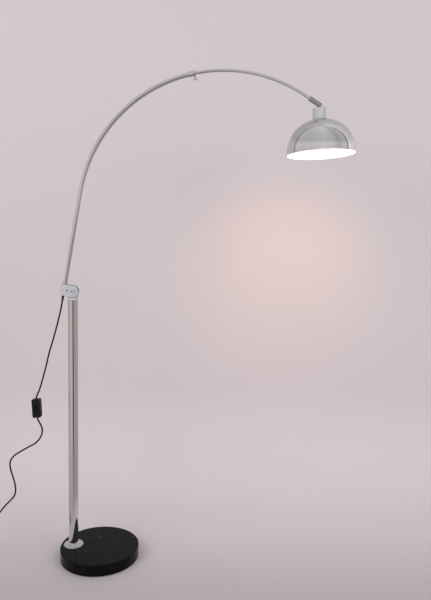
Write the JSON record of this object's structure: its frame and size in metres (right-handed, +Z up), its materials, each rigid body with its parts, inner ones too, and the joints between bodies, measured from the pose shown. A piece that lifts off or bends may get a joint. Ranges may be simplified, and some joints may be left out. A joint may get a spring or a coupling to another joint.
{
  "type": "arc floor lamp",
  "caption": "Floor lamp with a round stone base, a chrome post and a telescopic arc arm that tilts, holding a domed chrome shade on a knuckle.",
  "frame": {"origin": "centre of the round base, on the floor", "axes": "+Z up, +X along the arm's reach from the post towards the shade"},
  "size_m": [1.4137, 0.3065, 1.8518],
  "materials": {
    "chrome": "polished",
    "die_cast": "satin",
    "steel": "satin",
    "marble": "polished",
    "foam": "matte",
    "nylon": "satin",
    "black_plastic": "satin",
    "cord_sheath": "satin",
    "porcelain": "gloss",
    "white_enamel": "satin",
    "opal_glass": "satin",
    "brass": "satin"
  },
  "bodies": {
    "base": {"base_pad": "foam", "base_marble": "marble", "base_flange": "chrome", "base_washer": "steel", "base_bolt": "steel", "post_foot_plug": "steel", "post_tube": "chrome", "post_head": "die_cast", "friction_washer_front": "nylon", "friction_washer_rear": "nylon", "head_grub_screw": "steel", "cord_upper": "cord_sheath", "cord_lower": "cord_sheath", "cord_tail": "cord_sheath", "cord_coil": "cord_sheath", "switch_shell_front": "black_plastic", "switch_shell_back": "black_plastic", "switch_screw_upper": "steel", "switch_screw_lower": "steel", "plug_strain_relief": "cord_sheath", "plug_body": "black_plastic", "plug_pin_left": "brass", "plug_pin_right": "brass"},
    "arm": {"arm_bracket": "die_cast", "pivot_bolt": "die_cast", "pivot_nut": "steel", "stop_screw": "steel", "tube_grub_screw": "steel", "cord_gland": "cord_sheath", "lower_arm_tube": "chrome", "slide_bush": "nylon", "lower_lead": "cord_sheath", "lock_collar": "chrome"},
    "thumb": {"thumb_screw": "chrome"},
    "upper_arm": {"upper_arm_tube": "chrome", "slide_glide": "nylon", "upper_lead": "cord_sheath", "tip_sleeve": "chrome", "sleeve_grub_screw": "steel", "knuckle_pin": "steel"},
    "lamp_head": {"knuckle_tongue": "die_cast", "cup_nut": "steel", "socket_cup": "chrome", "lampholder": "porcelain", "lampholder_contact": "brass", "shade_ring": "porcelain", "dome_shade": "chrome", "bulb_cap": "brass", "bulb_glass": "opal_glass"},
    "rocker": {"switch_rocker": "black_plastic"}
  },
  "joints": [
    {"name": "arm_tilt", "type": "hinge", "parent": "base", "child": "arm", "pos_m": [-0.102, 0, 1.0344], "axis": [0, 1, 0], "range_deg": [-8, 12], "deforming": ["cord_upper"]},
    {"name": "thumb_turn", "type": "hinge", "parent": "arm", "child": "thumb", "pos_m": [0.33862, 0, 1.83287], "axis": [0.2277, 0, -0.9737], "range_deg": [0, 540]},
    {"name": "arm_extend", "type": "hinge", "parent": "arm", "child": "upper_arm", "pos_m": [0.45626, 0, 1.30735], "axis": [0, 1, 0], "range_deg": [-38, 7]},
    {"name": "shade_tilt", "type": "hinge", "parent": "upper_arm", "child": "lamp_head", "pos_m": [0.79704, 0, 1.72934], "axis": [0, 1, 0], "range_deg": [-45, 30]},
    {"name": "rocker_switch", "type": "hinge", "parent": "base", "child": "rocker", "pos_m": [-0.2385, -0.013, 0.5875], "axis": [0.998, 0, 0.0628], "range_deg": [-14, 0]}
  ]
}
